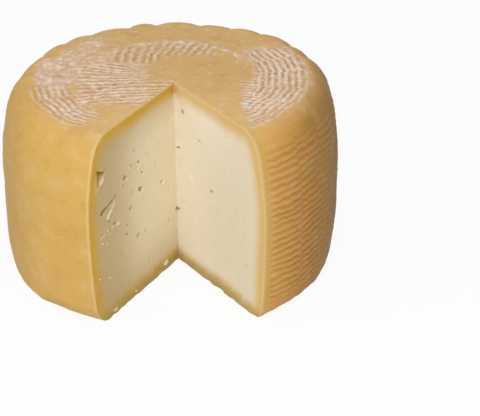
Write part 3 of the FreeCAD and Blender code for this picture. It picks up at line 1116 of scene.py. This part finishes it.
class Value:
    """A number that varies over a surface; Python's operators on it add Math nodes."""

    __add__, __radd__ = both_ways("ADD")
    __sub__, __rsub__ = both_ways("SUBTRACT")
    __mul__, __rmul__ = both_ways("MULTIPLY")
    __pow__, __rpow__ = both_ways("POWER")

    def __init__(self, nodes, socket):
        self.nodes = nodes
        self.socket = socket

    def maths(self, operation, *numbers):
        return self.nodes.add("Math", {"operation": operation}, dict(enumerate(numbers)))

    def limit(self):
        """Held between 0 and 1."""
        return self.maths("MINIMUM", self.maths("MAXIMUM", self, 0.0), 1.0)

    def step(self, low, high):
        """Rise smoothly from 0 at low to 1 at high, also where low is the larger one."""
        if low > high:
            return 1 - self.step(high, low)
        curve = {"interpolation_type": "SMOOTHSTEP"}
        return self.nodes.add("MapRange", curve, {0: self, 1: low, 2: high})

    def ramp(self, low, high):
        """step, with its range in millimetres."""
        return self.step(low * MM, high * MM)


class Nodes:
    """Adds nodes to the node tree of a material or of the world."""

    def __init__(self, tree):
        self.tree = tree

    def feed(self, socket, value):
        if isinstance(value, Value):
            self.tree.links.new(value.socket, socket)
        elif socket.type == "RGBA":
            socket.default_value = (*value, 1)
        else:
            socket.default_value = value

    def add(self, kind, options, sockets, output=0):
        """Any node: its settings first, then the values or links of its sockets."""
        node = self.tree.nodes.new("ShaderNode" + kind)
        for name, value in options.items():
            setattr(node, name, value)
        for place, value in sockets.items():
            self.feed(node.inputs[place], value)
        return Value(self, node.outputs[output])

    def seen(self):
        """1 for the rays that show a background, and 0 for those that only light the wheel."""
        return sum(self.add("LightPath", {}, {}, ray) for ray in SEEING_RAYS).limit()


class Paint(Nodes):
    """A material under construction."""

    def __init__(self, name):
        self.material = bpy.data.materials.new(name)
        self.material.use_nodes = True
        super().__init__(self.material.node_tree)
        self.shader = self.tree.nodes["Principled BSDF"]
        self.place = self.add("TexCoord", {}, {}, "Object")
        self.x, self.y, self.z = (self.add("SeparateXYZ", {}, {0: self.place}, axis) for axis in "XYZ")

    def attributes(self, *names):
        """The values stored on the points under these names."""
        return [self.add("Attribute", {"attribute_name": name}, {}, "Fac") for name in names]

    def noise(self, size, detail, rough, seed=0.0, stretch=(1, 1, 1)):
        """Noise between about 0 and 1, whose lumps are about size across."""
        scaled = self.add("Mapping", {}, {"Vector": self.place, "Scale": stretch, "Location": (seed,) * 3})
        sockets = {"Vector": scaled, "Scale": 1 / size, "Detail": detail, "Roughness": rough}
        return self.add("TexNoise", {}, sockets)

    def layers(self, base, *covers):
        """Lay colours over a base one after another, each with the share of it that shows."""
        for tint, share in covers:
            base = self.add("Mix", {"data_type": "RGBA"}, {0: share, 6: base, 7: tint}, 2)
        return base

    def bump(self, height, depth):
        """A normal for a height that is given as a share of depth."""
        return self.add("Bump", {}, {"Height": height, "Distance": depth, "Strength": 1.0})

    def finish(self, sockets):
        """The material, with the shader's sockets fed."""
        for name, value in sockets.items():
            self.feed(self.shader.inputs[name], value)
        return self.material


def rind_finish():
    colours = settings().rind
    paint = Paint("rind")
    heel, printed, crest, bloom = paint.attributes("heel", "printed", "crest", "bloom")
    veil, warm, cool, from_cut = paint.attributes("veil", "warm", "cool", "from_cut")
    large = paint.noise(45 * MM, 3, 0.55)
    middle = paint.noise(12 * MM, 4, 0.6, seed=3.0)
    fine = paint.noise(2.2 * MM, 4, 0.6, seed=5.0)
    streaks = paint.noise(10 * MM, 3, 0.6, seed=7.0, stretch=(1, 1, 5))
    flecks = paint.noise(4.2 * MM, 4, 0.6, seed=9.0)

    side = paint.layers(
        colours.golden,
        (colours.orange, paint.x.ramp(45, 60) * 0.45),
        # Browner towards the right of the heel: partly the rind's own colour, partly painted shade away
        # from the lamps
        (colours.brown, paint.x.ramp(55, 86)),
        # Painted shade on the far right of the heel, which turns away from the lamps
        (colours.painted_shade, paint.x.ramp(84, 100) * 0.7),
        (colours.golden, from_cut.ramp(10, 5) * 0.8),
        (colours.brown, paint.x.ramp(-72, -99) * 0.38),
    )
    top = paint.layers(
        colours.tan,
        (colours.pale, paint.y.ramp(25, -60) * 0.6),
        (colours.golden, paint.x.ramp(-68, -92) * 0.7),
    )
    # Where the painted shade of the grooves falls
    shaded_grooves = (1 - crest) * printed
    white = bloom * (0.40 + 1.1 * fine.step(0.35, 0.60))
    base = paint.layers(
        top,
        (side, heel),
        # Uneven patches, streaks and flecks
        (colours.orange, large.step(0.55, 0.75) * (0.25 - 0.12 * heel)),
        # Darker mottled patches, in the colour of the painted groove shade
        (colours.groove_shade_and_mottle, middle.step(0.5, 0.75) * 0.16),
        (colours.bloom, middle.step(0.48, 0.28) * 0.10),
        (colours.lip, streaks.step(0.55, 0.75) * heel * 0.14),
        (colours.bloom, (1 - heel) * flecks.step(0.55, 0.70) * 0.3),
        # The print: its veil, painted shade in its grooves, a painted highlight on its crests on the heel,
        # and the bloom on its crests
        (colours.veil, veil * (0.4 + 0.9 * middle) * 0.9),
        # Painted shade in the grooves of the print
        (colours.groove_shade_and_mottle, shaded_grooves * (0.52 - 0.20 * heel)),
        # Painted highlight on the crests of the reeds on the heel
        (colours.ridge, crest**3 * printed * heel * 0.35),
        (colours.bloom, veil * flecks.step(0.45, 0.60) * 0.8),
        (colours.bloom, white.limit() * 0.9),
        # Spots, the rind's edges at the cuts, and painted shade along the foot where the heel meets the
        # floor
        (colours.warm, warm * (0.3 + 0.5 * fine)),
        (colours.cool, cool * fine.step(0.3, 0.6) * 0.8),
        (colours.lip, from_cut.ramp(2.2, 0.6) * 0.42),
        (colours.painted_shade, paint.z.ramp(2.5, 0.3) * heel * 0.45),
    )
    grain = 0.6 * fine + 0.8 * middle + 0.5 * streaks * heel + 0.9 * flecks * veil
    return paint.finish({
        "Base Color": base,
        "Roughness": 0.52 + 0.25 * fine - 0.10 * heel + 0.15 * bloom,
        "Normal": paint.bump(grain, 0.6 * MM),
        "IOR": 1.42,
        "Specular IOR Level": 0.18,
        "Subsurface Weight": 0.08,
        "Subsurface Radius": (4 * MM, 2 * MM, 1 * MM),
        "Subsurface Scale": 1.0,
    })


def paste_finish():
    colours = settings().paste
    paint = Paint("paste")
    depth, hollow, raised, toasted = paint.attributes("depth", "hollow", "raised", "toasted")
    large = paint.noise(30 * MM, 3, 0.5)
    middle = paint.noise(6 * MM, 4, 0.6, seed=2.0)
    fine = paint.noise(1.2 * MM, 4, 0.65, seed=4.0)
    wander = (large - 0.5) * (5 * MM) + (middle - 0.5) * (2 * MM)

    apex_x, apex_y = apex()
    outward = ((paint.x - apex_x) ** 2 + (paint.y - apex_y) ** 2) ** 0.5 + wander
    left = (paint.x - apex_x).ramp(0.4, -0.6)
    reach = depth + wander
    band = reach.ramp(15, 2.5) ** 1.6
    base = paint.layers(
        colours.cream,
        (colours.beige, outward.ramp(15, 75) * 0.6),
        (colours.edge, left * 0.32),
        # Painted shade on the outer part of the left cut face
        (colours.left_face_shade, left * outward.ramp(35, 75) * 0.7),
        # Towards the rind and the base, beginning with more painted shade on the left cut face
        (colours.left_face_shade, left * reach.ramp(28, 6) * 0.35),
        (colours.ochre, band * (0.74 + 0.26 * left)),
        (colours.foot, left * paint.z.ramp(50, 8) * 0.22),
        (colours.edge, depth.ramp(1.6, 0.6) * 0.5),
        # The olive band at the base: partly the paste's own tone, partly painted shade near the floor
        (colours.foot, (paint.z + wander).ramp(11, 1) * 0.85),
        # Mottling, crumbs and eyes
        (colours.beige, middle.step(0.55, 0.75) * 0.25),
        (colours.cream, raised * 0.5),
        # Painted shade inside the eyes, stronger where they sink deeper
        (colours.hollow, hollow * 0.75),
        (colours.toasted, toasted * (0.5 + 0.5 * middle)),
    )
    return paint.finish({
        "Base Color": base,
        "Roughness": 0.62 + 0.2 * fine,
        "Normal": paint.bump(0.8 * fine + 1.0 * middle, 0.5 * MM),
        "IOR": 1.42,
        "Specular IOR Level": 0.25,
        "Subsurface Weight": 0.2,
        "Subsurface Radius": (6 * MM, 4 * MM, 2 * MM),
        "Subsurface Scale": 1.0,
    })


class PECORINO_OT_finish(bpy.types.Operator):
    """Store how deep in the paste the wheel's points lie, and smooth its faces"""

    bl_idname = "pecorino.finish"
    bl_label = "Finish"

    # Edges that are sharper than this stay sharp
    SMOOTH_UP_TO = radians(38)

    def execute(self, context):
        wheel = bpy.data.objects["wheel"]
        points = read(wheel.data.vertices, "co")
        depth = Outline(settings().wheel).depth(np.hypot(*points[:, :2].T), points[:, 2])
        store(wheel.data, "depth", depth)
        store(wheel.data, "from_cut", distance_to_cuts(points))
        make_active(wheel)
        bpy.ops.object.shade_smooth_by_angle(angle=self.SMOOTH_UP_TO)
        return {"FINISHED"}


# ---- Stage ----


FLOOR_COLOUR = (0.85, 0.85, 0.85)
# How much of the floor that is seen glows white; the rest is lit, and shows the shadow
FLOOR_GLOW = 0.93


def floor_finish():
    """White seen from anywhere, with the wheel's soft shadow kept."""
    paint = Paint("floor")
    glow = paint.add("Emission", {}, {"Color": WHITE, "Strength": 1.0})
    lit = Value(paint, paint.shader.outputs[0])
    both = paint.add("MixShader", {}, {0: FLOOR_GLOW * paint.seen(), 1: lit, 2: glow})
    paint.feed(paint.tree.nodes["Material Output"].inputs["Surface"], both)
    return paint.finish({"Base Color": FLOOR_COLOUR, "Roughness": 0.9})


def light_sky(scene, strength):
    """An even white world that lights at strength and is seen as plain white."""
    scene.world = bpy.data.worlds.new("sky")
    scene.world.use_nodes = True
    sky = Nodes(scene.world.node_tree)
    background = sky.tree.nodes["Background"].inputs
    sky.feed(background["Color"], WHITE)
    sky.feed(background["Strength"], strength + (1 - strength) * sky.seen())


class PECORINO_OT_stage(bpy.types.Operator):
    """Set up the floor, the lamps, the world and the camera"""

    bl_idname = "pecorino.stage"
    bl_label = "Stage"

    SENSOR_WIDTH = 36
    FLOOR_SIZE = 8.0
    FLOOR_DROP = 0.2 * MM
    LAMP_SIZE = 1.0
    LAMP_PLACES = {"key": (-0.2, -1.6, 1.4), "side": (-1.6, -0.5, 1.0)}

    def execute(self, context):
        stage = settings().stage
        middle = Vector((0, 0, settings().wheel.height / 2))
        camera_data = bpy.data.cameras.new("camera")
        camera_data.lens = stage.focal
        camera_data.sensor_width = self.SENSOR_WIDTH
        camera = bpy.data.objects.new("camera", camera_data)
        context.scene.collection.objects.link(camera)
        back = Vector((0, -cos(stage.elevation), sin(stage.elevation)))
        look = Matrix.Rotation(pi / 2 - stage.elevation, 4, "X")
        turn = (
            Matrix.Rotation(-stage.pan, 4, "Y")
            @ Matrix.Rotation(-stage.tilt, 4, "X")
            @ Matrix.Rotation(-stage.roll, 4, "Z")
        )
        camera.matrix_world = Matrix.Translation(middle + back * stage.distance) @ look @ turn
        context.scene.camera = camera

        bpy.ops.mesh.primitive_plane_add(size=self.FLOOR_SIZE, location=(0, 0, -self.FLOOR_DROP))
        floor = context.object
        floor.name = "floor"
        floor.data.materials.append(floor_finish())

        for name, place in self.LAMP_PLACES.items():
            data = bpy.data.lights.new(name, "AREA")
            data.size = self.LAMP_SIZE
            data.energy = getattr(stage, name)
            lamp = bpy.data.objects.new(name, data)
            context.scene.collection.objects.link(lamp)
            lamp.location = place
            lamp.rotation_euler = (middle - lamp.location).to_track_quat("-Z", "Y").to_euler()
        light_sky(context.scene, stage.sky)
        context.scene.view_settings.view_transform = "Standard"
        return {"FINISHED"}


class PecorinoSettings(bpy.types.PropertyGroup):
    """All settings of the wheel."""

    wheel: bpy.props.PointerProperty(type=WheelSettings)
    weave: bpy.props.PointerProperty(type=WeaveSettings)
    rind: bpy.props.PointerProperty(type=RindColours)
    paste: bpy.props.PointerProperty(type=PasteColours)
    stage: bpy.props.PointerProperty(type=StageSettings)


OPERATORS = (PECORINO_OT_wheel, PECORINO_OT_eyes, PECORINO_OT_finish, PECORINO_OT_stage)
GROUPS = (WheelSettings, WeaveSettings, RindColours, PasteColours, StageSettings, PecorinoSettings)


class PECORINO_PT_panel(bpy.types.Panel):
    """Lists the operators in the sidebar"""

    bl_idname = "PECORINO_PT_panel"
    bl_label = "Pecorino wheel"
    bl_space_type = "VIEW_3D"
    bl_region_type = "UI"
    bl_category = "Pecorino"

    def draw(self, context):
        for operator in OPERATORS:
            self.layout.operator(operator.bl_idname)


CLASSES = (*GROUPS, *OPERATORS, PECORINO_PT_panel)


def register():
    for entry in CLASSES:
        bpy.utils.register_class(entry)
    bpy.types.Scene.pecorino = bpy.props.PointerProperty(type=PecorinoSettings)


def unregister():
    del bpy.types.Scene.pecorino
    for entry in reversed(CLASSES):
        bpy.utils.unregister_class(entry)


def main():
    register()
    bpy.ops.pecorino.wheel()
    bpy.ops.pecorino.eyes()
    bpy.ops.pecorino.finish()
    bpy.ops.pecorino.stage()


if __name__ == "__main__":
    main()
